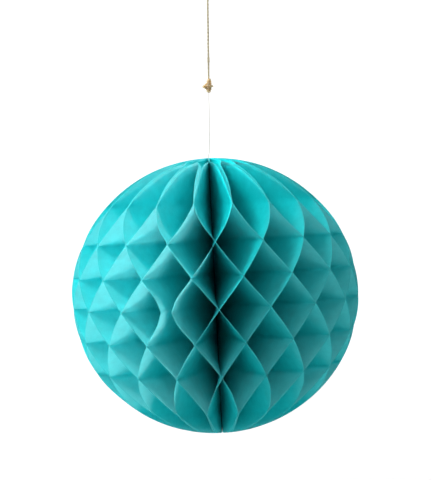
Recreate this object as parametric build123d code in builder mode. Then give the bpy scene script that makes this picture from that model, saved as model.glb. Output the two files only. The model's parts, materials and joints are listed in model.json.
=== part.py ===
"""A paper honeycomb ball that hangs on a thread from a loop of twine.

Thirty-six tissue leaves stand round a bound spine. Each leaf zigzags down its height: at one glue row it
meets the leaf on its left, at the next row the leaf on its right, and the cells of the honeycomb open
between the rows. The first and the last leaf are held together by three adhesive tabs.

Millimetres, +Z up, -Y is the front. The origin is where a hook bears inside the top of the hanging loop.
"""

import os
from math import radians, sqrt, tan

from build123d import *

os.makedirs("parts", exist_ok=True)

# ---------------------------------------------------------------- driving dimensions
# the ball
ball_radius = 125.0
ball_half_height = 120.25
leaf_count = 36
first_leaf_azimuth = -15.0  # degrees from the front (-Y), towards +X
leaf_thickness = 0.2
bond_gap = 0.3  # between two leaves along a glue row
bond_height = 3.0
glue_rows = [115.5, 78.5, 49.5, 21.5, -5.0, -33.0, -62.0, -94.5]  # heights above the ball's centre
loose_row = 4  # the row where the first and last leaf have come apart
loose_reach = 0.6  # how far they still lean towards each other there
pole_reach = 0.5

# the spine
leaf_root_radius = 3.0
binding_radius = 2.8
binding_top = 118.5
binding_bottom = -116.0
spine_thread_radius = 0.4
stop_knot_radius = 1.4
stop_knot_gap = 0.2  # below the binding

# the tabs on the seam, at three of its glue rows
tab_rows = {"top": 0, "upper": 2, "lower": 6}
tab_length = 8.0
tab_height = 2.4
tab_thickness = 0.2
tab_setback = 2.0

# the hanging line, from the top down
twine_radius = 0.9
thread_radius = 0.35
loop_drop = 34.0
loop_half_width = 6.5
loop_leg_spread = 0.95
loop_leg_height = 5.0
loop_bend_radii = [24.0, 4.9, 4.9, 24.0]
loop_knot_height = 9.0
twine_length = 76.9
twine_knot_height = 13.1
thread_length = 52.6
swing_gap = 0.1  # clearance at each point that swings
knot_core_radius = 1.95
knot_wrap_radius = 2.1
knot_tail_radius = 0.7
knot_tail_length = 5.0
knot_tail_tilt = 76  # degrees from the core
knot_wraps = [(0.27, 20), (0.5, -24), (0.73, 22)]  # share of the knot's height, tilt in degrees

# the eyelet at the top of the ball
eyelet_radius = 1.4
eyelet_clearance = 0.15

# ---------------------------------------------------------------- worked-out heights
leaf_pitch = 360 / leaf_count
loop_knot_top = -loop_drop
twine_top = loop_knot_top - loop_knot_height - swing_gap
twine_knot_top = twine_top - twine_length
thread_top = twine_knot_top - twine_knot_height - swing_gap
eyelet_top = thread_top - thread_length - swing_gap
eyelet_centre = eyelet_top - thread_radius - eyelet_radius
eyelet_bottom = eyelet_centre - eyelet_radius - thread_radius
ball_top = eyelet_bottom - eyelet_clearance
ball_centre = ball_top - ball_half_height


def save(piece, name):
    """Labels a finished piece and writes it as one STEP file."""
    piece.part.label = name
    export_step(piece.part, f"parts/{name}.step")


def ball_radius_at(height):
    """The ball's outer radius at a height above its centre."""
    return ball_radius * sqrt(1 - (height / ball_half_height) ** 2)


# ---------------------------------------------------------------- leaves
def leaf_section(distance, on_seam):
    """A leaf's zigzag outline in the upright plane at this distance from the axis."""
    reach = distance * tan(radians(leaf_pitch / 2)) - (bond_gap + leaf_thickness) / 2
    line = [(pole_reach * reach, ball_half_height)]
    for row, height in enumerate(glue_rows):
        side = -reach if row % 2 == 0 else reach
        if on_seam and row == loose_row:
            side *= loose_reach
        line += [(side, height + bond_height / 2), (side, height - bond_height / 2)]
    line.append((-pole_reach * reach, -ball_half_height))
    left = [(y - leaf_thickness / 2, z) for y, z in line]
    right = [(y + leaf_thickness / 2, z) for y, z in reversed(line)]
    return left + right


def zigzag_leaf(on_seam):
    """A leaf along +X with the ball's centre at the origin, its first glue row on the -Y side."""
    with BuildPart() as leaf:
        for distance in (leaf_root_radius, ball_radius):
            with BuildSketch(Plane.YZ.offset(distance)):
                with BuildLine():
                    Polyline(*leaf_section(distance, on_seam), close=True)
                make_face()
        loft(ruled=True)
        with BuildSketch(Plane.XZ):
            Ellipse(ball_radius, ball_half_height)
            with Locations((-ball_radius, 0)):
                Rectangle(2 * ball_radius, 3 * ball_half_height, mode=Mode.SUBTRACT)
        revolve(axis=Axis.Z, mode=Mode.INTERSECT)
    return leaf.part


plain_leaf = zigzag_leaf(on_seam=False)
seam_leaf = zigzag_leaf(on_seam=True)

for number in range(1, leaf_count + 1):
    shape = seam_leaf if number in (1, leaf_count) else plain_leaf
    if number % 2 == 0:
        shape = shape.mirror(Plane.XZ)
    azimuth = first_leaf_azimuth + (number - 1) * leaf_pitch
    with BuildPart() as leaf:
        with Locations((0, 0, ball_centre)):
            add(shape, rotation=(0, 0, azimuth - 90))
    save(leaf, f"leaf_{number:02d}")

# ---------------------------------------------------------------- spine
with BuildPart() as spine_binding:
    with BuildSketch(Plane.XY.offset(ball_centre + binding_bottom)):
        Circle(binding_radius)
        Circle(spine_thread_radius, mode=Mode.SUBTRACT)
    extrude(amount=binding_top - binding_bottom)
save(spine_binding, "spine_binding")

with BuildPart() as spine_thread:
    with BuildSketch(Plane.XY.offset(ball_centre + binding_bottom)):
        Circle(spine_thread_radius)
    extrude(amount=ball_half_height - binding_bottom)
save(spine_thread, "spine_thread")

with BuildPart() as spine_stop_knot:
    with Locations((0, 0, ball_centre + binding_bottom - stop_knot_radius)):
        Sphere(stop_knot_radius)
    split(bisect_by=Plane.XY.offset(ball_centre + binding_bottom - stop_knot_gap), keep=Keep.BOTTOM)
save(spine_stop_knot, "spine_stop_knot")

# ---------------------------------------------------------------- seam tabs
seam_azimuth = first_leaf_azimuth - leaf_pitch / 2
for place, row in tab_rows.items():
    height = glue_rows[row]
    outer_end = ball_radius_at(height + bond_height / 2) - tab_setback
    tab_plane = Plane((0, 0, ball_centre + height)).rotated((0, 0, seam_azimuth - 90))
    with BuildPart(tab_plane) as tab:
        with Locations((outer_end - tab_length / 2, 0, 0)):
            Box(tab_length, tab_thickness, tab_height)
    save(tab, f"seam_tab_{place}")

# ---------------------------------------------------------------- eyelet
with BuildPart() as top_eyelet:
    with BuildSketch(Plane.XY.offset(eyelet_centre)):
        with Locations((0, eyelet_radius)):
            Circle(thread_radius)
    revolve(axis=Axis((0, 0, eyelet_centre), (1, 0, 0)))
save(top_eyelet, "top_eyelet")


# ---------------------------------------------------------------- hanging line
def hung_strand(radius, top, length):
    """A taut strand with a domed top end, about whose centre it swings."""
    with BuildPart() as strand:
        with BuildSketch(Plane.XY.offset(top - length)):
            Circle(radius)
        extrude(amount=length - radius)
        with Locations((0, 0, top - radius)):
            Sphere(radius)
    return strand


def tied_knot(top, height):
    """An overhand knot: three tilted wraps on a short core, with two cut tails."""
    with BuildPart() as knot:
        with BuildSketch(Plane.XY.offset(top - height)):
            Circle(knot_core_radius)
        extrude(amount=height)
        for share, tilt in knot_wraps:
            with Locations(Location((0, 0, top - height * share), (0, tilt, 0))):
                Torus(knot_wrap_radius, twine_radius)
        for side in (-1, 1):
            with Locations(Location((0, 0, top - height / 2), (0, side * knot_tail_tilt, 0))):
                Cylinder(
                    knot_tail_radius,
                    knot_tail_length,
                    align=(Align.CENTER, Align.CENTER, Align.MIN),
                )
    return knot


twine = hung_strand(twine_radius, twine_top, twine_length)
save(twine, "twine")
hanging_thread = hung_strand(thread_radius, thread_top, thread_length)
save(hanging_thread, "hanging_thread")
twine_knot = tied_knot(twine_knot_top, twine_knot_height)
save(twine_knot, "twine_knot")
loop_knot = tied_knot(loop_knot_top, loop_knot_height)
save(loop_knot, "loop_knot")

loop_crown = twine_radius  # the hook bears on the underside of the twine, at the origin
with BuildPart() as hang_loop:
    with BuildLine(Plane.XZ) as loop_path:
        FilletPolyline(
            (-loop_leg_spread, loop_knot_top),
            (-loop_leg_spread, loop_knot_top + loop_leg_height),
            (-loop_half_width, loop_crown),
            (loop_half_width, loop_crown),
            (loop_leg_spread, loop_knot_top + loop_leg_height),
            (loop_leg_spread, loop_knot_top),
            radius=loop_bend_radii,
        )
    with BuildSketch(Plane(loop_path.line @ 0, z_dir=loop_path.line % 0)):
        Circle(twine_radius)
    sweep()
save(hang_loop, "hang_loop")

print(f"ball centre at z = {ball_centre:.2f}, ball top at z = {ball_top:.2f}")
print(f"twine swings at z = {twine_top - twine_radius:.2f}, thread at z = {thread_top - thread_radius:.2f}")
print(f"eyelet pivot at z = {eyelet_centre + eyelet_radius:.2f}, loop bends on {loop_bend_radii} mm")
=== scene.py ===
# %% [markdown]
# # A paper honeycomb ball
# Thirty-six leaves of cyan tissue stand round a bound spine. Each leaf zigzags down its height and is glued
# to the leaf on its left at one row and to the leaf on its right at the next, so that cells open between
# the rows. The ball hangs on a pale thread from a knot in a jute twine, and the twine ends in a loop for a
# hook. The CAD frame holds every size and every joint; this notebook gives the pieces their look.

# %% Load the frame
import json
import math

import bpy
from mathutils import Matrix, Vector

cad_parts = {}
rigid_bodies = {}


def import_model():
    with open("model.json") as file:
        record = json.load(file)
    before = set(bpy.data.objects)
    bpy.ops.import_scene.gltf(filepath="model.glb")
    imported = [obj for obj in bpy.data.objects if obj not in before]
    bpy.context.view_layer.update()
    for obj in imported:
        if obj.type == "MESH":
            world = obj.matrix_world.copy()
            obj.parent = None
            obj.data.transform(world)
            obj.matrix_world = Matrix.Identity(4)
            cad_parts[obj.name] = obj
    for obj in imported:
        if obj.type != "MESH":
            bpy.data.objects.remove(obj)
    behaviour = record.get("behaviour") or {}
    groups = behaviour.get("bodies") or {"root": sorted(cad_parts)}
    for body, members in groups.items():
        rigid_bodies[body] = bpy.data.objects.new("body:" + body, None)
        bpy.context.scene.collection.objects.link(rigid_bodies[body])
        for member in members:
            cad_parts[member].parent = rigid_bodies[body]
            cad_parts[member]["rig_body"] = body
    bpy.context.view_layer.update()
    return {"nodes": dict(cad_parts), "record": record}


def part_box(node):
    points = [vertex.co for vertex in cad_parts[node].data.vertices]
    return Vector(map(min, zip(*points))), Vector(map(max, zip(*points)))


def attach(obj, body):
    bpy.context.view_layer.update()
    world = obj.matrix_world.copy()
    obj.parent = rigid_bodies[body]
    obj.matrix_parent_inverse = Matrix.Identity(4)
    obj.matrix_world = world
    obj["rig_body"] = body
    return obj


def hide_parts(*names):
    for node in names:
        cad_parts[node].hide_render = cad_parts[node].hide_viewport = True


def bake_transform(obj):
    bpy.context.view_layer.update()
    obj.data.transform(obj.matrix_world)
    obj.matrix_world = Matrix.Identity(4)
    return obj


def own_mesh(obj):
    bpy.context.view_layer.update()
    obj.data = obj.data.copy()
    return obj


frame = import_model()
scene = bpy.context.scene

body_groups = frame["record"]["behaviour"]["bodies"]
body_of = {node: body for body, nodes in body_groups.items() for node in nodes}
leaf_count = sum(name.startswith("leaf_") for name in frame["nodes"])
leaf_low, leaf_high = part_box("leaf_01")
ball_centre = Vector((0, 0, (leaf_low.z + leaf_high.z) / 2))
half_height = (leaf_high.z - leaf_low.z) / 2
leaf_points = [v.co for v in frame["nodes"]["leaf_01"].data.vertices]
ball_radius = max(math.hypot(p.x, p.y) for p in leaf_points)
print(f"{leaf_count} leaves, radius {ball_radius:.4f} m, half height {half_height:.4f} m")

# %% [markdown]
# ## The camera
# The camera comes first, because the cords are measured against what it sees. It is a long lens a metre and
# a half away, a little above the ball's equator. The ball hangs with its axis a few degrees off upright in
# the picture, so the camera is rolled by that much and the ball's axis stays on the frame's own +Z.

# %% Camera
camera_distance = 11.79 * ball_radius
camera_elevation = math.radians(3.35)
camera_azimuth = math.radians(-1.17)
camera_roll = math.radians(2.85)
camera_lens = 126.0
sensor_width = 36.0
furthest_seen = 50.0
view_above_ball = 0.0484
view_beside_ball = 0.0006


def direction(azimuth, elevation=0.0):
    """A unit vector at this azimuth from the front (-Y) towards +X, and this angle above level."""
    level = math.cos(elevation)
    return Vector((level * math.sin(azimuth), -level * math.cos(azimuth), math.sin(elevation)))


def in_scene(name, data):
    """A new object in the scene that carries this data."""
    thing = bpy.data.objects.new(name, data)
    scene.collection.objects.link(thing)
    return thing


def add_camera():
    """A camera that looks at a point a little above the ball's centre."""
    data = bpy.data.cameras.new("camera")
    data.lens = camera_lens
    data.sensor_width = sensor_width
    data.clip_end = furthest_seen
    camera = in_scene("camera", data)
    out = direction(camera_azimuth, camera_elevation)
    look = (-out).to_track_quat("-Z", "Y").to_matrix().to_4x4()
    to_ball = Vector((-view_beside_ball, -view_above_ball, -camera_distance))
    aim = Vector((0, 0, -1)).rotation_difference(to_ball).to_matrix().to_4x4()
    roll = Matrix.Rotation(-camera_roll, 4, "Z")
    place = Matrix.Translation(ball_centre + out * camera_distance)
    camera.matrix_world = place @ look @ roll @ aim.inverted()
    scene.camera = camera
    return camera


camera = add_camera()
print("camera at", [round(c, 3) for c in camera.matrix_world.translation])

# %% [markdown]
# ## Small helpers
# Node trees are easier to read when each node takes its inputs in one line. `put` makes a node and feeds
# it, from sockets or from plain values. `grow` runs a Geometry Nodes tree once and keeps the plain mesh it
# makes, because the export reads meshes and not modifiers.

# %% Node helpers
FLOAT, VECTOR, GEOMETRY = "NodeSocketFloat", "NodeSocketVector", "NodeSocketGeometry"
MATERIAL, OBJECT, WHOLE_NUMBER = "NodeSocketMaterial", "NodeSocketObject", "NodeSocketInt"


def feed(tree, socket, value):
    """Gives an input its value: a link from another socket, or a plain value."""
    if isinstance(value, bpy.types.NodeSocket):
        tree.links.new(value, socket)
    elif value is not None:
        socket.default_value = value


def put(tree, kind, *values, out=0, **settings):
    """A new node of this kind, its inputs fed in order, and the socket it gives out."""
    node = tree.nodes.new(kind)
    for name, value in settings.items():
        setattr(node, name, value)
    open_inputs = [socket for socket in node.inputs if socket.enabled]
    for socket, value in zip(open_inputs, values):
        feed(tree, socket, value)
    return node.outputs[out]


def calc(tree, operation, *values):
    """A number worked out by a Math node."""
    return put(tree, "ShaderNodeMath", *values, operation=operation)


def scaled(tree, vector, by):
    """A vector made longer, or a colour made lighter, by a number that changes from point to point."""
    node = tree.nodes.new("ShaderNodeVectorMath")
    node.operation = "SCALE"
    feed(tree, node.inputs["Vector"], vector)
    feed(tree, node.inputs["Scale"], by)
    return node.outputs[0]


def new_tree(name, kind, inputs, outputs):
    """A node group with named inputs and outputs: {name: (socket type, default)} and {name: type}."""
    tree = bpy.data.node_groups.new(name, kind)
    for label, (socket_type, value) in inputs.items():
        socket = tree.interface.new_socket(label, in_out="INPUT", socket_type=socket_type)
        if value is not None:
            socket.default_value = value
    for label, socket_type in outputs.items():
        tree.interface.new_socket(label, in_out="OUTPUT", socket_type=socket_type)
    given = tree.nodes.new("NodeGroupInput").outputs
    wanted = tree.nodes.new("NodeGroupOutput").inputs
    return tree, given, wanted


print("node helpers:", put.__name__, calc.__name__, scaled.__name__, new_tree.__name__)

# %% Mesh helpers


def grow(name, tree, values):
    """A plain mesh object made by a Geometry Nodes tree with these input values."""
    seed = in_scene(name + "_seed", bpy.data.meshes.new(name + "_seed"))
    modifier = seed.modifiers.new("grow", "NODES")
    modifier.node_group = tree
    sockets = {s.name: s.identifier for s in tree.interface.items_tree if s.in_out == "INPUT"}
    for label, value in values.items():
        modifier[sockets[label]] = value
    bpy.context.view_layer.update()
    graph = bpy.context.evaluated_depsgraph_get()
    mesh = bpy.data.meshes.new_from_object(seed.evaluated_get(graph), depsgraph=graph)
    mesh.name = name
    bpy.data.objects.remove(seed)
    return in_scene(name, mesh)


def mesh_piece(name, points, faces, material, smooth):
    """An object made of these points and faces, all in one material."""
    mesh = bpy.data.meshes.new(name)
    mesh.from_pydata(points, [], faces)
    mesh.polygons.foreach_set("use_smooth", [smooth] * len(mesh.polygons))
    mesh.materials.append(material)
    return in_scene(name, mesh)


print("mesh helpers:", grow.__name__, mesh_piece.__name__)

# %% [markdown]
# ## The hanging line's routes
# A taut line is nearly straight. The thread goes from the eyelet on the ball to the knot, and the twine
# from that knot to the knot of the hanging loop. Both lean a little to the right of the ball's own axis, as
# the real line does, because the ball never hangs quite true. The loop leans back, so that its crown bears
# at the origin. Each route is one NURBS spline of order three, set after its points are added.

# %% The line's sizes
eyelet_low, eyelet_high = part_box("top_eyelet")
thread_low, thread_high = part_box("hanging_thread")
knot_low, knot_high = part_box("twine_knot")
twine_low, twine_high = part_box("twine")
loop_knot_low, loop_knot_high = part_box("loop_knot")
loop_low, loop_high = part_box("hang_loop")
thread_width = thread_high.x - thread_low.x
twine_width = twine_high.x - twine_low.x
line_lean = math.tan(math.radians(2.1))
line_start = 0.0012  # beside the axis, where the thread leaves the eyelet
thread_bow = 0.0003
twine_bow = 0.0004
print(f"thread {1000 * thread_width:.1f} mm thick, twine {1000 * twine_width:.1f} mm thick")

# %% Route helpers


def on_line(height, wander=0.0):
    """A point of the hanging line at this height, wandering a little off it in depth."""
    return Vector((line_start + (height - eyelet_high.z) * line_lean, wander, height))


def route_points(name, points):
    """The points of the smooth NURBS line that these control points make."""
    data = bpy.data.curves.new(name, "CURVE")
    data.dimensions = "3D"
    data.resolution_u = 24
    spline = data.splines.new("NURBS")
    spline.points.add(len(points) - 1)
    for knot, place in zip(spline.points, points):
        knot.co = (*place, 1.0)
    spline.order_u = 3
    spline.use_endpoint_u = True
    route = in_scene(name, data)
    bpy.context.view_layer.update()
    mesh = bpy.data.meshes.new_from_object(route)
    line = [v.co.copy() for v in mesh.vertices]
    bpy.data.meshes.remove(mesh)
    bpy.data.objects.remove(route)
    return line


def line_length(line):
    """How long a line of points is."""
    return sum((b - a).length for a, b in zip(line, line[1:]))


def bowed(low, high, bow):
    """A taut line between two heights that bows one way and then the other."""
    third = (high - low) / 3
    return [on_line(low), on_line(low + third, bow), on_line(high - third, -bow), on_line(high)]


thread_route = route_points("thread_route", bowed(thread_low.z, thread_high.z, thread_bow))
twine_route = route_points("twine_route", bowed(twine_low.z, twine_high.z, twine_bow))
print(f"thread {1000 * line_length(thread_route):.1f} mm, twine {1000 * line_length(twine_route):.1f} mm")

# %% The loop's route
loop_half_width = (loop_high.x - loop_low.x - twine_width) / 2
loop_crown = loop_high.z - twine_width / 2
loop_shift = on_line(loop_low.z).x
# how wide the loop is at each share of its height, as a share of its half width
loop_outline = [(0.15, 0.0), (0.15, 0.16), (0.62, 0.42), (1.0, 0.78), (1.0, 1.0)]


def loop_points():
    """The loop's control points: two legs side by side, spreading to a rounded crown over the origin."""
    left = [(-width, share) for width, share in loop_outline]
    drop = loop_crown - loop_low.z
    points = []
    for width, share in left + [(width, share) for width, share in reversed(loop_outline)]:
        beside = width * loop_half_width + loop_shift * (1 - share)
        points.append(Vector((beside, 0, loop_low.z + drop * share)))
    return points


loop_route = route_points("loop_route", loop_points())
print(f"loop {1000 * line_length(loop_route):.1f} mm round")

# %% [markdown]
# ## Shared effects for the finishes
# Tissue is a thin felt of fibres: cloudy where they lie thick, with single fibres in it. Twine is a bundle
# of coarse fibres that run along each strand. Both effects are shader node groups with named inputs, so
# that each material sets its own strength.

# %% Tissue formation
tissue_fibre_stretch = (900.0, 5200.0, 900.0)  # per metre out from the spine, down the leaf, and through it


def paper_group():
    """Tissue's cloudy formation and its fibres, from a vector in metres."""
    tree, given, wanted = new_tree(
        "Tissue Formation",
        "ShaderNodeTree",
        {
            "Vector": (VECTOR, None),
            "Cloud Size": (FLOAT, 0.006),
            "Cloud Depth": (FLOAT, 0.1),
            "Relief": (FLOAT, 0.5),
        },
        {"Tint": FLOAT, "Height": FLOAT},
    )
    per_metre = calc(tree, "DIVIDE", 1.0, given["Cloud Size"])
    cloud = put(tree, "ShaderNodeTexNoise", given["Vector"], per_metre, 4.0, 0.6, noise_dimensions="3D")
    stretch = tissue_fibre_stretch
    stretched = put(tree, "ShaderNodeVectorMath", given["Vector"], stretch, operation="MULTIPLY")
    fibre = put(tree, "ShaderNodeTexNoise", stretched, 1.0, 3.0, 0.55, noise_dimensions="3D")
    centred = calc(tree, "SUBTRACT", cloud, 0.5)
    deep = calc(tree, "MULTIPLY", centred, given["Cloud Depth"])
    tree.links.new(calc(tree, "ADD", deep, 1.0), wanted["Tint"])
    both = calc(tree, "ADD", cloud, fibre)
    tree.links.new(calc(tree, "MULTIPLY", both, given["Relief"]), wanted["Height"])
    return tree


tissue_formation = paper_group()
print("shader group:", tissue_formation.name)

# %% Twine fibres
twine_streaks_along = 600.0  # per metre of strand


def twine_group():
    """Coarse fibres along a strand, from the strand's own UV: length along it, turn round it."""
    tree, given, wanted = new_tree(
        "Twine Fibres",
        "ShaderNodeTree",
        {"Vector": (VECTOR, None), "Fibre Count": (FLOAT, 40.0), "Contrast": (FLOAT, 0.5)},
        {"Shade": FLOAT, "Height": FLOAT},
    )
    across = put(tree, "ShaderNodeCombineXYZ", twine_streaks_along, given["Fibre Count"], 1.0)
    stretched = put(tree, "ShaderNodeVectorMath", given["Vector"], across, operation="MULTIPLY")
    fibre = put(tree, "ShaderNodeTexNoise", stretched, 1.0, 4.0, 0.65, noise_dimensions="3D")
    centred = calc(tree, "SUBTRACT", fibre, 0.5)
    deep = calc(tree, "MULTIPLY", centred, given["Contrast"])
    tree.links.new(calc(tree, "ADD", deep, 0.5), wanted["Shade"])
    tree.links.new(fibre, wanted["Height"])
    return tree


twine_fibres = twine_group()
print("shader group:", twine_fibres.name)

# %% [markdown]
# ## Building a material
# Every material here ends the same way, so short helpers make its last nodes. Numbers that are the same all
# over a surface go straight onto the shader's own sockets, where the export can read them.

# %% Material helpers


def new_material(name):
    """A material with an empty node tree."""
    material = bpy.data.materials.new(name)
    material.use_nodes = True
    material.node_tree.nodes.clear()
    return material, material.node_tree


def use_group(tree, group, **values):
    """A shader group placed in a material, with its own values."""
    node = tree.nodes.new("ShaderNodeGroup")
    node.node_tree = group
    for label, value in values.items():
        feed(tree, node.inputs[label.replace("_", " ")], value)
    return node.outputs


def mixed(tree, mask, first, second):
    """One colour turning into another where the mask is 1."""
    node = tree.nodes.new("ShaderNodeMix")
    node.data_type = "RGBA"
    tree.links.new(mask, node.inputs["Factor"])
    colours = [socket for socket in node.inputs if socket.enabled and socket.type == "RGBA"]
    for socket, value in zip(colours, (first, second)):
        feed(tree, socket, value)
    return next(socket for socket in node.outputs if socket.enabled)


def bumped(tree, height, strength, distance):
    """A normal roughened by this height."""
    return put(tree, "ShaderNodeBump", strength, distance, None, height)


def principled(tree, colour, roughness, specular=0.5, normal=None):
    """The light that a surface throws back."""
    surface = tree.nodes.new("ShaderNodeBsdfPrincipled")
    feed(tree, surface.inputs["Base Color"], colour)
    feed(tree, surface.inputs["Roughness"], roughness)
    feed(tree, surface.inputs["Specular IOR Level"], specular)
    feed(tree, surface.inputs["Normal"], normal)
    return surface


def let_through(tree, surface, colour, share):
    """A surface that lets this share of the light through in this colour."""
    glow = tree.nodes.new("ShaderNodeBsdfTranslucent")
    feed(tree, glow.inputs["Color"], colour)
    blend = tree.nodes.new("ShaderNodeMixShader")
    blend.inputs["Fac"].default_value = share
    tree.links.new(surface.outputs[0], blend.inputs[1])
    tree.links.new(glow.outputs[0], blend.inputs[2])
    return blend


def finished(tree, shader):
    """Joins the last shader to the material's output."""
    output = tree.nodes.new("ShaderNodeOutputMaterial")
    tree.links.new(shader.outputs[0], output.inputs["Surface"])


print("material helpers:", principled.__name__, let_through.__name__)

# %% [markdown]
# ## Tissue
# Tissue is so thin that much of the light goes through it. One sheet against the light is pale; behind two
# or three sheets the same dye is deep and saturated. A Principled BSDF gives the light that the sheet
# throws back and a Translucent BSDF the light that comes through, and the sheets themselves make the pale
# and deep patches. The cut edge is a felt of loose fibres, which scatters more light.

# %% Tissue material
tissue_back = (0.0, 0.93, 0.955)
tissue_through = (0.62, 0.95, 0.965)
tissue_edge = (0.2, 0.85, 0.87, 1.0)
edge_fibre_width = 0.0006
through_share = 0.5


def tissue_material():
    """Cyan tissue, cloudy and fibrous, paler along its cut edge."""
    material, tree = new_material("cyan_tissue")
    sheet_uv = put(tree, "ShaderNodeUVMap", uv_map="UVMap")
    from_edge = put(tree, "ShaderNodeAttribute", attribute_name="from_edge", out=2)
    clouds = {"Cloud_Size": 0.007, "Cloud_Depth": 0.22, "Relief": 0.5}
    formation = use_group(tree, tissue_formation, Vector=sheet_uv, **clouds)
    edge_mask = put(tree, "ShaderNodeMapRange", from_edge, 0.0, edge_fibre_width, 1.0, 0.0)
    back = mixed(tree, edge_mask, scaled(tree, tissue_back, formation["Tint"]), tissue_edge)
    through = mixed(tree, edge_mask, scaled(tree, tissue_through, formation["Tint"]), tissue_edge)
    relief = bumped(tree, formation["Height"], strength=0.35, distance=0.00006)
    surface = principled(tree, back, roughness=0.75, specular=0.12, normal=relief)
    finished(tree, let_through(tree, surface, through, through_share))
    return material


cyan_tissue = tissue_material()
print("tissue:", cyan_tissue.name, "with", len(cyan_tissue.node_tree.nodes), "nodes")

# %% [markdown]
# ## The leaf, by rule
# A leaf follows a rule, so Geometry Nodes make it. The tree starts from a flat box two faces thick and
# gives each point three numbers: how far out it is, which side of the sheet it is on, and how far down. The
# way down is counted in glue rows, so that a ping-pong of that count swings the leaf from its left
# neighbour to its right one. Two curves carry what is not regular: the heights of the rows, and how the
# paper eases from row to row.

# %% Leaf sizes
glue_rows = [0.1168, 0.0812, 0.0495, 0.0215, -0.005, -0.033, -0.062, -0.0975]
row_steps = len(glue_rows) + 1
first_leaf_azimuth = math.radians(-15.0)
leaf_pitch = math.radians(360 / leaf_count)
root_radius = 0.0027
pole_width = 0.0012  # of a leaf at its two poles
sheet_height = 2.24 * ball_radius  # flat, before the zigzag takes up height
loose_row = 4
loose_span = 0.8  # rows over which a leaf that has come loose there stays slack
points_per_row = 14
points_outward = 20
edge_crowding = 1.6  # points stand closer together towards the cut edge
billow_noise = 28.0
wander_noise = 16.0
crease_angle = math.radians(55)

leaf_inputs = {
    "Ball Radius": (FLOAT, ball_radius),
    "Half Height": (FLOAT, half_height),
    "Root Radius": (FLOAT, root_radius),
    "Centre Height": (FLOAT, ball_centre.z),
    "Leaf Angle": (FLOAT, 0.0),
    "Half Pitch": (FLOAT, leaf_pitch / 2),
    "Side": (FLOAT, 1.0),
    "Bond Inset": (FLOAT, 0.00016),
    "Bond Share": (FLOAT, 0.035),
    "Come Loose": (FLOAT, 0.0),
    "Paper Thickness": (FLOAT, 0.00016),
    "Rim Thickness": (FLOAT, 0.00035),
    "Wander": (FLOAT, 0.0022),
    "Billow": (FLOAT, 0.0016),
    "Leaf Number": (FLOAT, 0.0),
    "Material": (MATERIAL, None),
}
print("glue rows at", [round(1000 * height, 1) for height in glue_rows], "mm from the ball's centre")

# %% [markdown]
# Near the top the paper reaches its neighbour early and stays close to it, so the first cells are narrow
# and long. Lower down it goes from row to row evenly. The list pairs the way down with the row it counts as
# there.

# %% The way down and the swing
eased_rows = [(0.0, 0.7), (1.0, 1.0), (1.1, 1.5), (1.23, 1.76), (1.6, 1.88), (1.93, 1.98), (2.0, 2.0)]
eased_rows += [(2.06, 2.05), (2.5, 2.45), (3.0, 3.0)]
eased_rows += [(row, row) for row in range(4, 8)]
eased_rows += [(7.5, 7.56), (8.0, 8.0), (8.5, 8.1), (8.8, 8.3), (9.0, 8.7)]


def shaped_curve(tree, value, points):
    """A smooth Float Curve through these points, each from 0 to 1."""
    curve = tree.nodes.new("ShaderNodeFloatCurve")
    line = curve.mapping.curves[0]
    line.points[0].location = points[0]
    line.points[1].location = points[-1]
    for point in points[1:-1]:
        line.points.new(*point)
    for point in line.points:
        point.handle_type = "AUTO"
    curve.mapping.update()
    tree.links.new(value, curve.inputs["Value"])
    return curve.outputs[0]


def height_down(tree, given, down):
    """The height above the ball's centre. Each glue row is one even step of the way down."""
    places = [(0.0, 1.0)]
    for row, height in enumerate(glue_rows, start=1):
        places.append((row / row_steps, 0.5 + height / (2 * half_height)))
    share_up = shaped_curve(tree, down, [*places, (1.0, 0.0)])
    whole_height = calc(tree, "MULTIPLY", given["Half Height"], 2.0)
    return calc(tree, "MULTIPLY", calc(tree, "SUBTRACT", share_up, 0.5), whole_height)


def row_and_swing(tree, given, down):
    """The count of glue rows, and the swing from -1 at one neighbour to 1 at the other, held at the glue."""
    shares = [(there / row_steps, eased / row_steps) for there, eased in eased_rows]
    rows_down = calc(tree, "MULTIPLY", shaped_curve(tree, down, shares), float(row_steps))
    row = calc(tree, "SUBTRACT", rows_down, 1.0)
    there_and_back = calc(tree, "MULTIPLY", calc(tree, "PINGPONG", row, 1.0), 2.0)
    swing = calc(tree, "SUBTRACT", there_and_back, 1.0)
    overshot = calc(tree, "MULTIPLY", swing, calc(tree, "ADD", given["Bond Share"], 1.0))
    return row, calc(tree, "MAXIMUM", calc(tree, "MINIMUM", overshot, 1.0), -1.0)


def hold(tree, given, row):
    """1 where the leaf reaches its neighbour, and less near the row where it has come loose."""
    off_row = calc(tree, "ABSOLUTE", calc(tree, "SUBTRACT", row, float(loose_row)))
    smoothly = {"interpolation_type": "SMOOTHSTEP"}
    near = put(tree, "ShaderNodeMapRange", off_row, 0.0, loose_span, 1.0, 0.0, **smoothly)
    return calc(tree, "SUBTRACT", 1.0, calc(tree, "MULTIPLY", near, given["Come Loose"]))


print("the paper eases from row to row through", len(eased_rows), "points")

# %% [markdown]
# The cut edge is the ball's own outline, a slightly flattened circle. A point's place is then its distance
# from the spine and its angle round it. The angle is the leaf's own plus the swing times half the pitch,
# less a hair's breadth at the glue, so that two leaves lie against each other there and don't cross.

# %% The outline and the place round the spine


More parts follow.
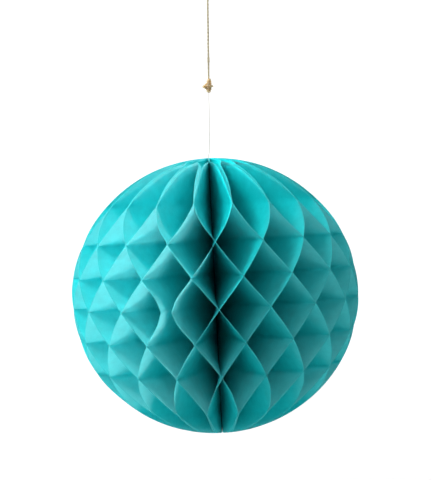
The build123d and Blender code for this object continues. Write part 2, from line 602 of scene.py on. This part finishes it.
def edge_and_radius(tree, given, height, outward):
    """How far a point is from the cut edge, and how far from the ball's axis."""
    level = calc(tree, "DIVIDE", height, given["Half Height"])
    left_over = calc(tree, "SUBTRACT", 1.0, calc(tree, "MULTIPLY", level, level))
    round_share = calc(tree, "SQRT", calc(tree, "MAXIMUM", left_over, 0.0))
    ball_edge = calc(tree, "MULTIPLY", given["Ball Radius"], round_share)
    outer = calc(tree, "MAXIMUM", ball_edge, calc(tree, "ADD", given["Root Radius"], pole_width))
    inward = calc(tree, "POWER", calc(tree, "SUBTRACT", 1.0, outward), edge_crowding)
    from_edge = calc(tree, "MULTIPLY", inward, calc(tree, "SUBTRACT", outer, given["Root Radius"]))
    return from_edge, calc(tree, "SUBTRACT", outer, from_edge)


def place_and_across(tree, given, side, radius, height):
    """Where a point of the sheet's middle is, and the direction across the sheet there."""
    inset = calc(tree, "DIVIDE", given["Bond Inset"], radius)
    half_angle = calc(tree, "SUBTRACT", given["Half Pitch"], inset)
    angle = calc(tree, "ADD", given["Leaf Angle"], calc(tree, "MULTIPLY", side, half_angle))
    cosine = calc(tree, "COSINE", angle)
    sine = calc(tree, "SINE", angle)
    across = put(tree, "ShaderNodeCombineXYZ", calc(tree, "MULTIPLY", sine, -1.0), cosine, 0.0)
    x = calc(tree, "MULTIPLY", radius, cosine)
    y = calc(tree, "MULTIPLY", radius, sine)
    z = calc(tree, "ADD", height, given["Centre Height"])
    return put(tree, "ShaderNodeCombineXYZ", x, y, z), across


print(f"leaves stand {math.degrees(leaf_pitch):.0f} degrees apart")

# %% [markdown]
# Real sheets are never quite true. Between the glue rows the free paper billows to one side, each leaf in
# its own way, and whole rows wander by a millimetre or so. The wander is the same for all leaves, so that
# glued leaves stay together. The cut edge is a little thicker than the sheet, as torn fibres are.

# %% Thickness, billow and wander


def half_thickness(tree, given, outward, which_side):
    """How far a face stands from the sheet's middle, with the cut edge a little thicker."""
    rim = put(tree, "ShaderNodeMapRange", outward, 1.0 - 1.5 / points_outward, 1.0, 0.0, 1.0)
    extra = calc(tree, "SUBTRACT", given["Rim Thickness"], given["Paper Thickness"])
    whole = calc(tree, "ADD", given["Paper Thickness"], calc(tree, "MULTIPLY", rim, extra))
    return calc(tree, "MULTIPLY", which_side, whole)


def billow(tree, given, placed, swing, outer_share):
    """How far the free paper stands to one side."""
    free = calc(tree, "SUBTRACT", 1.0, calc(tree, "MULTIPLY", swing, swing))
    noise_inputs = (placed, given["Leaf Number"], billow_noise, 1.5, 0.5)
    noise = put(tree, "ShaderNodeTexNoise", *noise_inputs, noise_dimensions="4D")
    most = calc(tree, "MULTIPLY", calc(tree, "SUBTRACT", noise, 0.5), given["Billow"])
    return calc(tree, "MULTIPLY", most, calc(tree, "MULTIPLY", free, outer_share))


def wander(tree, given, placed, outer_share):
    """A slow drift of the paper, the same for every leaf."""
    noise = put(tree, "ShaderNodeTexNoise", placed, wander_noise, 1.0, 0.5, out=1, noise_dimensions="3D")
    drift = put(tree, "ShaderNodeVectorMath", noise, (0.5, 0.5, 0.5), operation="SUBTRACT")
    return scaled(tree, drift, calc(tree, "MULTIPLY", given["Wander"], outer_share))


print("paper is", 1000 * leaf_inputs["Paper Thickness"][1], "mm thick in the model")

# %% [markdown]
# The whole tree puts these together. It also stores a UV, which is the flat sheet in metres, and the
# distance from the cut edge, for the tissue material. Sharp edges are where the two faces of the sheet
# meet.

# %% The leaf's tree


def leaf_tree():
    """One leaf of the ball, from a flat box."""
    tree, given, wanted = new_tree("Honeycomb Leaf", "GeometryNodeTree", leaf_inputs, {"Geometry": GEOMETRY})
    box = tree.nodes.new("GeometryNodeMeshCube")
    box.inputs["Vertices X"].default_value = points_outward
    box.inputs["Vertices Y"].default_value = 2
    box.inputs["Vertices Z"].default_value = row_steps * points_per_row + 1
    at = put(tree, "ShaderNodeSeparateXYZ", put(tree, "GeometryNodeInputPosition")).node.outputs
    outward = calc(tree, "ADD", at["X"], 0.5)
    down = calc(tree, "SUBTRACT", 0.5, at["Z"])

    height = height_down(tree, given, down)
    row, swing = row_and_swing(tree, given, down)
    held = calc(tree, "MULTIPLY", swing, hold(tree, given, row))
    side = calc(tree, "MULTIPLY", held, given["Side"])
    from_edge, radius = edge_and_radius(tree, given, height, outward)
    placed, across = place_and_across(tree, given, side, radius, height)

    outer_share = calc(tree, "DIVIDE", radius, given["Ball Radius"])
    thick = half_thickness(tree, given, outward, at["Y"])
    beside = calc(tree, "ADD", thick, billow(tree, given, placed, swing, outer_share))
    moved = put(tree, "ShaderNodeVectorMath", placed, scaled(tree, across, beside), operation="ADD")
    drift = wander(tree, given, placed, outer_share)
    moved = put(tree, "ShaderNodeVectorMath", moved, drift, operation="ADD")

    store = "GeometryNodeStoreNamedAttribute"
    edged = put(
        tree, store, box.outputs["Mesh"], None, "from_edge", from_edge, data_type="FLOAT", domain="POINT"
    )
    flat = put(tree, "ShaderNodeCombineXYZ", radius, calc(tree, "MULTIPLY", down, sheet_height), 0.0)
    mapped = put(tree, store, edged, None, "UVMap", flat, data_type="FLOAT2", domain="CORNER")
    shaped = put(tree, "GeometryNodeSetPosition", mapped, None, moved)
    smooth = put(tree, "GeometryNodeSetShadeSmooth", shaped, None, True, domain="FACE")
    sharp = calc(tree, "GREATER_THAN", put(tree, "GeometryNodeInputMeshEdgeAngle"), crease_angle)
    creased = put(tree, "GeometryNodeSetShadeSmooth", smooth, sharp, False, domain="EDGE")
    real = put(tree, "GeometryNodeRealizeInstances", creased)
    papered = put(tree, "GeometryNodeSetMaterial", real, None, given["Material"])
    tree.links.new(papered, wanted["Geometry"])
    return tree


honeycomb_leaf = leaf_tree()
print("leaf tree has", len(honeycomb_leaf.nodes), "nodes")

# %% [markdown]
# ## Thirty-six leaves
# Each leaf stands a pitch on from the last and swings the other way. Its body in the frame folds it about
# the spine. Every sheet was cut flat as a half ellipse, taller than the ball, because the zigzag takes up
# height. The first and the last leaf meet at the seam, where one glue row has come apart.

# %% Leaves
seam_gape = 0.42
leaf_number_step = 1.7  # keeps each leaf's billows apart from the next one's


def fold_flat(piece):
    """Gives a piece its own copy of its mesh."""
    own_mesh(piece)


for number in range(1, leaf_count + 1):
    name = f"leaf_{number:02d}"
    azimuth = first_leaf_azimuth + (number - 1) * leaf_pitch
    outward = direction(azimuth)
    on_seam = number in (1, leaf_count)
    leaf_values = {
        "Leaf Angle": math.atan2(outward.y, outward.x),
        "Side": 1.0 if number % 2 else -1.0,
        "Come Loose": seam_gape if on_seam else 0.0,
        "Leaf Number": leaf_number_step * number,
        "Material": cyan_tissue,
    }
    leaf = grow(f"tissue_{name}", honeycomb_leaf, leaf_values)
    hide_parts(name)
    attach(leaf, body_of[name])
    fold_flat(leaf)
print("leaves:", leaf_count, "each of", len(leaf.data.polygons), "faces")

# %% [markdown]
# ## Twisted cords
# Twine and thread are twisted from plies. Each ply is a tube that winds round its route, and it swells and
# thins a little along the way. Tubes made here, and not curves with a bevel, keep a UV along each ply,
# which the fibre streaks follow.

# %% Lines beside a line
steps_per_turn = 14


def evenly(line, step):
    """Points along a line at even steps, close to the step asked for."""
    count = max(2, round(line_length(line) / step))
    gaps = [(b - a).length for a, b in zip(line, line[1:])]
    spacing = sum(gaps) / count
    points, at, walked = [line[0].copy()], 0, 0.0
    for number in range(1, count):
        wanted = number * spacing
        while walked + gaps[at] < wanted:
            walked += gaps[at]
            at += 1
        points.append(line[at].lerp(line[at + 1], (wanted - walked) / gaps[at]))
    return points + [line[-1].copy()]


def framed(line):
    """Each point of a line with two directions across it that turn as little as they can."""
    across, frames = None, []
    for number, point in enumerate(line):
        along = (line[min(number + 1, len(line) - 1)] - line[max(number - 1, 0)]).normalized()
        if across is None:
            across = along.orthogonal()
        across = (across - along * across.dot(along)).normalized()
        frames.append((point, across, along.cross(across)))
    return frames


def wound(line, turn_length, offset, start_angle):
    """A line that winds round another at this offset."""
    walked, points = 0.0, []
    for number, (point, across, up) in enumerate(framed(line)):
        if number:
            walked += (point - line[number - 1]).length
        angle = start_angle + math.tau * walked / turn_length
        points.append(point + (across * math.cos(angle) + up * math.sin(angle)) * offset)
    return points


print("line helpers:", evenly.__name__, framed.__name__, wound.__name__)

# %% Tubes and plies
ply_fullness = 1.12  # plies press into each other, so each is a little thicker than its share
# each ripple along a ply: its size, how fast it comes, and its shift from ply to ply
ply_ripples = [(0.08, 61, 1.9), (0.05, 147, 1.0)]


def tubes(name, lines, radius, material, sides=8):
    """One mesh of closed tubes. radius(share, tube) is the radius at this share of a tube's length."""
    points, faces, uvs = [], [], []
    for number, line in enumerate(lines):
        first, walked = len(points), 0.0
        for step, (point, across, up) in enumerate(framed(line)):
            walked += (point - line[step - 1]).length if step else 0.0
            size = radius(step / (len(line) - 1), number)
            for side in range(sides):
                angle = math.tau * side / sides
                points.append(point + (across * math.cos(angle) + up * math.sin(angle)) * size)
                uvs.append((walked, side / sides))
        for step in range(len(line) - 1):
            low = first + step * sides
            for side in range(sides):
                after = (side + 1) % sides
                faces.append((low + side, low + after, low + sides + after, low + sides + side))
        last = len(points) - sides
        faces.append(tuple(first + side for side in reversed(range(sides))))
        faces.append(tuple(last + side for side in range(sides)))
    piece = mesh_piece(name, points, faces, material, smooth=True)
    layer = piece.data.uv_layers.new(name="UVMap")
    for loop in piece.data.loops:
        layer.data[loop.index].uv = uvs[loop.vertex_index]
    return piece


def plied(name, routes, width, turn_length, material, swell=lambda share: 1.0):
    """A cord of two plies wound side by side along each route."""
    ply_radius = width / 4
    lines = []
    for route in routes:
        line = evenly(route, turn_length / steps_per_turn)
        lines += [wound(line, turn_length, ply_radius, start_angle) for start_angle in (0, math.pi)]

    def radius(share, tube):
        ripple = 1 + sum(size * math.sin(share * rate + tube * shift) for size, rate, shift in ply_ripples)
        return ply_radius * ply_fullness * ripple * swell(share)

    return tubes(name, lines, radius, material)


print("cord helpers:", tubes.__name__, plied.__name__)

# %% [markdown]
# ## Twine, thread and tab finishes
# The twine is coarse: its fibres show as streaks along each ply and some stand out as fuzz. Loose fibre
# lets much of the light through, so it is part translucent, as the tissue is. The knot is pulled tight and
# shades itself, so its fibre colours are painted lighter than the twine's: painted light that lifts that
# shade.

# %% Twine, thread and tab materials
straw_light = (0.79, 0.77, 0.65, 1.0)
straw_dark = (0.69, 0.63, 0.49, 1.0)
# the knot's two fibre colours are painted lighter than the twine's, painted light against the knot's own
# shade
lifted_knot_light = (1.0, 0.94, 0.76, 1.0)
lifted_knot_dark = (0.95, 0.82, 0.6, 1.0)
cotton_light = (0.93, 0.91, 0.86, 1.0)
cotton_dark = (0.85, 0.83, 0.78, 1.0)
binding_colour = (0.0, 0.3, 0.33, 1.0)
tab_colour = (0.8, 0.86, 0.85, 1.0)
jute_relief = 0.0001
cotton_relief = 0.00003


def fibre_material(name, light, dark, relief, through):
    """A fibrous cord, streaked along each ply."""
    material, tree = new_material(name)
    along = put(tree, "ShaderNodeUVMap", uv_map="UVMap")
    fibres = use_group(tree, twine_fibres, Vector=along, Fibre_Count=9.0, Contrast=1.6)
    colour = mixed(tree, fibres["Shade"], dark, light)
    streaks = bumped(tree, fibres["Height"], strength=0.6, distance=relief)
    surface = principled(tree, colour, roughness=0.8, specular=0.2, normal=streaks)
    finished(tree, let_through(tree, surface, colour, through))
    return material


def plain_material(name, colour, roughness):
    """A smooth, even finish for the small hidden pieces."""
    material, tree = new_material(name)
    finished(tree, principled(tree, colour, roughness))
    return material


jute = fibre_material("jute", straw_light, straw_dark, jute_relief, through=0.75)
# the knot's jute: the same fibre painted lighter to lift the shade the knot throws on itself
shade_lifted_knot_jute = fibre_material("knotted_jute", lifted_knot_light, lifted_knot_dark, jute_relief, through=0.75)
cotton_fibre = fibre_material("cotton", cotton_light, cotton_dark, cotton_relief, through=0.5)
glued_edges = plain_material("glued_edges", binding_colour, 0.7)
tab_paper = plain_material("tab", tab_colour, 0.5)
print("materials:", *(m.name for m in (jute, shade_lifted_knot_jute, cotton_fibre, glued_edges, tab_paper)))

# %% [markdown]
# The fuzz is scattered by Geometry Nodes: a tapered, bent hair stands on random points of the twine and
# leans over by a random angle. The seed is fixed.

# %% Fuzz
hair_bend = (0, 0, 0.55)  # a hair one unit long, before it is scaled
hair_tip = (0.75, 0, 0.8)
hair_taper = 0.8
hair_lean = 1.1
shortest_hair = 0.35
per_square_mm = 1e6

fuzz_inputs = {
    "Twine": (OBJECT, None),
    "Hairs per mm2": (FLOAT, 0.25),
    "Hair Length": (FLOAT, 0.0016),
    "Hair Radius": (FLOAT, 0.00003),
    "Seed": (WHOLE_NUMBER, 4),
    "Material": (MATERIAL, None),
}


def hair_shape(tree, given):
    """One bent hair, tapered to its tip."""
    arc = tree.nodes.new("GeometryNodeCurveQuadraticBezier")
    arc.inputs["Resolution"].default_value = 5
    arc.inputs["Start"].default_value = (0, 0, 0)
    arc.inputs["Middle"].default_value = hair_bend
    arc.inputs["End"].default_value = hair_tip
    along = put(tree, "GeometryNodeSplineParameter")
    taper = calc(tree, "SUBTRACT", 1.0, calc(tree, "MULTIPLY", along, hair_taper))
    root = calc(tree, "DIVIDE", given["Hair Radius"], given["Hair Length"])
    thickness = calc(tree, "MULTIPLY", taper, root)
    thin = put(tree, "GeometryNodeSetCurveRadius", arc.outputs[0], None, thickness)
    ring = tree.nodes.new("GeometryNodeCurvePrimitiveCircle")
    ring.inputs["Resolution"].default_value = 3
    ring.inputs["Radius"].default_value = 1.0
    hair = tree.nodes.new("GeometryNodeCurveToMesh")
    tree.links.new(thin, hair.inputs["Curve"])
    tree.links.new(ring.outputs[0], hair.inputs["Profile Curve"])
    hair.inputs["Fill Caps"].default_value = True
    if "Scale" in hair.inputs:
        tree.links.new(put(tree, "GeometryNodeInputRadius"), hair.inputs["Scale"])
    return hair.outputs[0]


def hair_turn(tree, given, surface_turn):
    """Each hair's own lean from the surface."""
    lean = tree.nodes.new("FunctionNodeRandomValue")
    lean.data_type = "FLOAT_VECTOR"
    lean.inputs["Min"].default_value = (-hair_lean, -hair_lean, 0.0)
    lean.inputs["Max"].default_value = (hair_lean, hair_lean, math.tau)
    tree.links.new(given["Seed"], lean.inputs["Seed"])
    turned = tree.nodes.new("FunctionNodeRotateRotation")
    turned.rotation_space = "LOCAL"
    tree.links.new(surface_turn, turned.inputs["Rotation"])
    tree.links.new(put(tree, "FunctionNodeEulerToRotation", lean.outputs[0]), turned.inputs["Rotate By"])
    return turned.outputs[0]


def fuzz_tree():
    """Hairs scattered over a twine piece."""
    tree, given, wanted = new_tree("Twine Fuzz", "GeometryNodeTree", fuzz_inputs, {"Geometry": GEOMETRY})
    twine_mesh = put(tree, "GeometryNodeObjectInfo", given["Twine"], transform_space="RELATIVE").node
    scatter = tree.nodes.new("GeometryNodeDistributePointsOnFaces")
    tree.links.new(twine_mesh.outputs["Geometry"], scatter.inputs["Mesh"])
    density = calc(tree, "MULTIPLY", given["Hairs per mm2"], per_square_mm)
    tree.links.new(density, scatter.inputs["Density"])
    tree.links.new(given["Seed"], scatter.inputs["Seed"])
    longer = tree.nodes.new("FunctionNodeRandomValue")
    longer.data_type = "FLOAT"
    longer.inputs[2].default_value = shortest_hair
    longer.inputs[3].default_value = 1.0
    stand = tree.nodes.new("GeometryNodeInstanceOnPoints")
    tree.links.new(scatter.outputs["Points"], stand.inputs["Points"])
    tree.links.new(hair_shape(tree, given), stand.inputs["Instance"])
    tree.links.new(hair_turn(tree, given, scatter.outputs["Rotation"]), stand.inputs["Rotation"])
    length = calc(tree, "MULTIPLY", longer.outputs[1], given["Hair Length"])
    tree.links.new(length, stand.inputs["Scale"])
    real = put(tree, "GeometryNodeRealizeInstances", stand.outputs[0])
    fuzzy = put(tree, "GeometryNodeSetMaterial", real, None, given["Material"])
    tree.links.new(fuzzy, wanted["Geometry"])
    return tree


twine_fuzz = fuzz_tree()
print("fuzz tree has", len(twine_fuzz.nodes), "nodes")

# %% [markdown]
# ## Knots
# Each knot is tied in the twine itself. Wraps wind down a short core, wide in the middle and narrow at both
# ends. One end of the twine is left as a small bight on the left and the other is cut short on the right.
# Two short strands fill the hollow of the bight, as the tightened twine does.

# %% The knots' routes
wrap_steps = 12
wrap_narrow = 0.42  # of the twine's width, at the two ends of a knot
wrap_bulge = 0.72  # how much wider the wraps are in the middle
wrap_tilt = 0.35
wraps_top, wraps_span = 0.08, 0.84  # shares of the knot's height
round_start, round_span = 0.1, 0.8  # the part of a half turn that a rounded winding follows
knot_middle, knot_foot = 0.46, 0.03


def wrap_points(low, high, wraps):
    """Wraps wound down the knot, a little tilted."""
    tall = high - low
    points = []
    for step in range(wraps * wrap_steps + 1):
        share = step / (wraps * wrap_steps)
        angle = wraps * math.tau * share
        roundness = math.sin(math.pi * (round_start + round_span * share))
        wide = twine_width * (wrap_narrow + wrap_bulge * roundness)
        centre = on_line(high - tall * (wraps_top + wraps_span * share))
        tilt = wrap_tilt * wide * math.cos(angle + 0.6)
        points.append(centre + Vector((wide * math.cos(angle), wide * math.sin(angle), tilt)))
    return points


def knot_routes(low, high, wraps, bight_reach, tail_reach):
    """The core, wraps, bight with its filling, and cut tail of a knot between two heights."""
    tall = high - low
    middle = on_line(low + tall * knot_middle)
    core = [on_line(low + tall * knot_foot), middle, on_line(high)]
    left = -bight_reach

    def beside(*places):
        """Points beside the middle: metres aside, twine widths in front, shares of the knot's height up."""
        return [middle + Vector((x, -front * twine_width, up * tall)) for x, front, up in places]

    bight = beside(
        (0, 0.6, 0.3),
        (0.55 * left, 0.9, 0.1),
        (1.2 * left, 0.6, 0.0),
        (0.6 * left, 0.7, -0.1),
        (0, 0.9, -0.34),
    )
    filler = beside((0, 0.5, 0.03), (0.45 * left, 0.8, -0.03), (0.85 * left, 0.6, -0.02))
    packing = beside((0, 0.7, -0.2), (0.35 * left, 0.8, -0.13), (0.7 * left, 0.6, -0.06))
    tail = beside((0, 0.7, -0.12), (0.55 * tail_reach, 0.9, -0.03), (tail_reach, 0.4, 0.02))
    parts = (core, wrap_points(low, high, wraps), bight, filler, packing, tail)
    return [route_points("knot_route", part) for part in parts]


knot_shape = {"wraps": 5, "bight_reach": 0.0047, "tail_reach": 0.0037}
loop_knot_shape = {"wraps": 3, "bight_reach": 0.0035, "tail_reach": 0.0045}
twine_knot_routes = knot_routes(knot_low.z, knot_high.z, **knot_shape)
loop_knot_routes = knot_routes(loop_knot_low.z, loop_knot_high.z, **loop_knot_shape)
print(f"the twine's knot takes {1000 * sum(map(line_length, twine_knot_routes)):.0f} mm of strand")

# %% Knots and loop
ply_turn = 0.0062


def declare(piece, node):
    """Hides a CAD node and puts a piece on the body that the node moves with."""
    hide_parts(node)
    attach(piece, body_of[node])


knot_piece = plied("jute_knot", twine_knot_routes, twine_width, ply_turn, shade_lifted_knot_jute)
declare(knot_piece, "twine_knot")
loop_knot_piece = plied("jute_loop_knot", loop_knot_routes, twine_width, ply_turn, shade_lifted_knot_jute)
declare(loop_knot_piece, "loop_knot")
loop_piece = plied("jute_loop", [loop_route], twine_width, ply_turn, jute)
declare(loop_piece, "hang_loop")
print("knot faces:", len(knot_piece.data.polygons))

# %% [markdown]
# ## Twine and thread
# The twine has one slub, a thick place just above the knot. Its top is tied into the loop's knot and can't
# move there. Both cords are taut, and something above the view holds them.

# %% Twine and thread pieces
slub_place, slub_reach, slub_swell = 0.2, 0.035, 0.5
thread_turn = 0.0016


def twine_swell(share):
    """Thicker at the slub."""
    return 1 + slub_swell * math.exp(-(((share - slub_place) / slub_reach) ** 2))


twine_piece = plied("jute_twine", [twine_route], twine_width, ply_turn, jute, twine_swell)
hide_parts("twine")
thread_piece = plied("cotton_thread", [thread_route], thread_width, thread_turn, cotton_fibre)
declare(thread_piece, "hanging_thread")
print("twine faces:", len(twine_piece.data.polygons), "thread faces:", len(thread_piece.data.polygons))

# %% Fuzz on the twine
twine_fuzz_density = 0.1
knot_fuzz_density = 0.14
fuzz_length = 0.0016

fuzz_of = {}
for seed, piece in enumerate((twine_piece, knot_piece, loop_knot_piece, loop_piece)):
    fuzz_values = {
        "Twine": piece,
        "Hairs per mm2": knot_fuzz_density if piece is knot_piece else twine_fuzz_density,
        "Hair Length": fuzz_length,
        "Seed": seed,
        "Material": jute,
    }
    fuzz = grow(piece.name + "_fuzz", twine_fuzz, fuzz_values)
    if piece is not twine_piece:
        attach(fuzz, piece["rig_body"])
    fuzz_of[piece] = fuzz

for piece in (twine_piece, fuzz_of[twine_piece]):
    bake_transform(piece)
print("fuzz faces:", sum(len(fuzz.data.polygons) for fuzz in fuzz_of.values()))

# %% The cords
print("cords declared:", thread_piece.name, twine_piece.name)

# %% [markdown]
# ## The spine and the eyelet
# The leaves are bound along their straight edges, so the spine shows one glued fold for each leaf. A thread
# runs down its middle, comes out at the top as the eyelet, and ends in a stop knot.

# %% The bound spine
binding_low, binding_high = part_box("spine_binding")
binding_radius = (binding_high.x - binding_low.x) / 2
points_per_fold = 4
fold_depth = 0.0004
binding_rows = 24


def ribbed_post(name, low, high, radius, ribs, material):
    """A post whose outside is folded into this many ribs."""
    around = ribs * points_per_fold
    points, faces = [], []
    for row in range(binding_rows + 1):
        height = low + (high - low) * row / binding_rows
        for step in range(around):
            angle = math.tau * step / around
            wide = radius - fold_depth * (0.5 - 0.5 * math.cos(ribs * angle))
            points.append((wide * math.cos(angle), wide * math.sin(angle), height))
    for row in range(binding_rows):
        first = row * around
        for step in range(around):
            after = (step + 1) % around
            faces.append((first + step, first + after, first + around + after, first + around + step))
    faces.append(tuple(reversed(range(around))))
    faces.append(tuple(range(binding_rows * around, (binding_rows + 1) * around)))
    return mesh_piece(name, points, faces, material, smooth=False)


binding_piece = ribbed_post(
    "glued_spine", binding_low.z, binding_high.z, binding_radius, leaf_count, glued_edges
)
declare(binding_piece, "spine_binding")
print("spine faces:", len(binding_piece.data.polygons))

# %% The spine's thread, its stop knot and the eyelet
spine_low, spine_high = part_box("spine_thread")
spine_route = [Vector((0, 0, spine_low.z)), Vector((0, 0, spine_high.z))]
spine_piece = plied("spine_cotton", [spine_route], spine_high.x - spine_low.x, thread_turn, cotton_fibre)
declare(spine_piece, "spine_thread")

stop_low, stop_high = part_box("spine_stop_knot")
stop_wide = (stop_high.x - stop_low.x) / 2
stop_turns = 4
stop_foot, stop_span = 0.14, 0.72  # shares of the stop knot's height
stop_steps = 72
eyelet_middle = (eyelet_low + eyelet_high) / 2
eyelet_radius = (eyelet_high.z - eyelet_low.z - thread_width) / 2
eyelet_steps = 40


def thread_tube(name, line):
    """A single round of thread along a line."""
    return tubes(name, [line], lambda share, tube: thread_width / 2, cotton_fibre)


def stop_knot_route():
    """Thread wound into a small ball."""
    line = []
    for step in range(stop_steps + 1):
        share = step / stop_steps
        across = math.sin(math.pi * (round_start + round_span * share)) * (stop_wide - thread_width / 2)
        height = stop_low.z + (stop_high.z - stop_low.z) * (stop_foot + stop_span * share)
        angle = math.tau * stop_turns * share
        line.append(Vector((across * math.cos(angle), across * math.sin(angle), height)))
    return line


def eyelet_route():
    """A ring of thread that stands upright over the spine."""
    angles = [math.tau * step / eyelet_steps for step in range(eyelet_steps + 1)]
    return [eyelet_middle + Vector((0, math.sin(a), math.cos(a))) * eyelet_radius for a in angles]


stop_piece = thread_tube("stop_knot", stop_knot_route())
declare(stop_piece, "spine_stop_knot")
eyelet_piece = thread_tube("cotton_eyelet", eyelet_route())
declare(eyelet_piece, "top_eyelet")
print("thread pieces:", spine_piece.name, stop_piece.name, eyelet_piece.name)

# %% [markdown]
# ## Seam tabs
# Three adhesive tabs close the ball between its first and its last leaf. Their CAD solids have the right
# shape, and each tab is a copy of its solid in the tab finish.

# %% Seam tabs
for place in ("top", "upper", "lower"):
    node = f"seam_tab_{place}"
    tab = in_scene("tab_" + place, frame["nodes"][node].data.copy())
    tab.data.materials.clear()
    tab.data.materials.append(tab_paper)
    declare(tab, node)
    fold_flat(tab)
print("tabs are in place on the seam")

# %% [markdown]
# ## The stage
# The ball hangs in front of a pale sweep, a floor that turns up into a wall. The wall glows and lights the
# tissue from behind. The floor is a middle grey, so that it throws little light up at the ball. For the
# camera alone it also glows, more and more the further off it is, so no edge shows against the white room.

# %% Sweep
floor_drop = 0.35  # below the ball
wall_depth = 2.6
bend_radius = 1.0
bend_steps = 8
wall_top = 2.2
floor_front = -5.0
sweep_half_width = 5.0
sweep_grey = (0.52, 0.52, 0.52, 1.0)
wall_glow = 0.58
glow_start, glow_full = 0.5, 2.0  # metres behind the ball
seen_near, seen_far = 0.1, 0.9  # the glow that only the camera sees, beside the ball and furthest off
seen_start = 0.4


def glowing_material(name, colour):
    """Matt paper that glows towards the back and, for the camera alone, further off all round."""
    material, tree = new_material(name)
    surface = principled(tree, colour, roughness=0.9)
    surface.inputs["Emission Color"].default_value = (1, 1, 1, 1)
    at = put(tree, "ShaderNodeTexCoord", out=3)
    back = put(tree, "ShaderNodeSeparateXYZ", at, out=1)
    smoothly = {"interpolation_type": "SMOOTHSTEP"}
    behind = put(tree, "ShaderNodeMapRange", back, glow_start, glow_full, 0.0, wall_glow, **smoothly)
    level = put(tree, "ShaderNodeVectorMath", at, (1.0, 1.0, 0.0), operation="MULTIPLY")
    away = put(tree, "ShaderNodeVectorMath", level, operation="LENGTH", out=1)
    fading = put(tree, "ShaderNodeMapRange", away, seen_start, wall_depth, seen_near, seen_far, **smoothly)
    seen = calc(tree, "MULTIPLY", fading, put(tree, "ShaderNodeLightPath"))
    tree.links.new(calc(tree, "MAXIMUM", behind, seen), surface.inputs["Emission Strength"])
    finished(tree, surface)
    return material


def add_sweep():
    """A floor that turns up into a wall behind the ball."""
    floor = leaf_low.z - floor_drop
    bend_start = wall_depth - bend_radius
    profile = [(floor_front, floor), (bend_start, floor)]
    for step in range(1, bend_steps + 1):
        angle = math.radians(90 * step / bend_steps)
        rise = bend_radius * (1 - math.cos(angle))
        profile.append((bend_start + bend_radius * math.sin(angle), floor + rise))
    profile.append((wall_depth, wall_top))
    points = [(side, y, z) for y, z in profile for side in (-sweep_half_width, sweep_half_width)]
    faces = [(2 * i, 2 * i + 1, 2 * i + 3, 2 * i + 2) for i in range(len(profile) - 1)]
    material = glowing_material("pale_sweep", sweep_grey)
    mesh_piece("sweep", points, faces, material, smooth=True)


add_sweep()
print(f"the floor is {floor_drop} m below the ball")

# %% [markdown]
# ## The lights
# A small key light from the left, a little above level, brings out every fold. A softer light above it
# brightens the upper left, a weak fill opens the front, and a small light from the right catches that edge.
# The rest comes from the room, brighter behind and above, because tissue glows when light comes through it.

# %% Lights
# azimuth and elevation in degrees, then distance and size in metres, then power in watts
lights = {
    "key": (-93, 22, 1.6, 0.35, 24),
    "top": (-75, 55, 1.6, 0.6, 16),
    "fill": (-25, 25, 2.0, 1.2, 3),
    "rim": (108, 22, 1.8, 0.5, 5),
}


def area_light(name, azimuth, elevation, distance, size, power):
    """A square light that faces the ball's centre."""
    data = bpy.data.lights.new(name, "AREA")
    data.size = size
    data.energy = power
    light = in_scene(name, data)
    out = direction(math.radians(azimuth), math.radians(elevation))
    facing = out.to_track_quat("Z", "Y").to_matrix().to_4x4()
    light.matrix_world = Matrix.Translation(ball_centre + out * distance) @ facing


for name, settings in lights.items():
    area_light(name, *settings)
print("lights:", *lights)

# %% Room light
brightest_way = (0.0, 0.55, 0.7)  # behind and above
room_low, room_high = 0.04, 0.5
facing_low, facing_high = -0.2, 0.8  # how far a direction agrees with the brightest way
seen_room = 0.95


def room_light():
    """Light from all round, brighter from behind and above, with a white room wherever the camera looks."""
    world = bpy.data.worlds.new("room")
    world.use_nodes = True
    tree = world.node_tree
    tree.nodes.clear()
    looking = put(tree, "ShaderNodeTexCoord", out=0)
    toward = put(tree, "ShaderNodeVectorMath", looking, brightest_way, operation="DOT_PRODUCT", out=1)
    graded = put(tree, "ShaderNodeMapRange", toward, facing_low, facing_high, room_low, room_high)
    seen = calc(tree, "MULTIPLY", put(tree, "ShaderNodeLightPath"), seen_room)
    background = tree.nodes.new("ShaderNodeBackground")
    background.inputs["Color"].default_value = (1, 1, 1, 1)
    tree.links.new(calc(tree, "MAXIMUM", graded, seen), background.inputs["Strength"])
    output = tree.nodes.new("ShaderNodeOutputWorld")
    tree.links.new(background.outputs[0], output.inputs["Surface"])
    scene.world = world


room_light()
scene.view_settings.view_transform = "Standard"
print("world:", scene.world.name, "shown with", scene.view_settings.view_transform)

# %% Finish
print("finished")
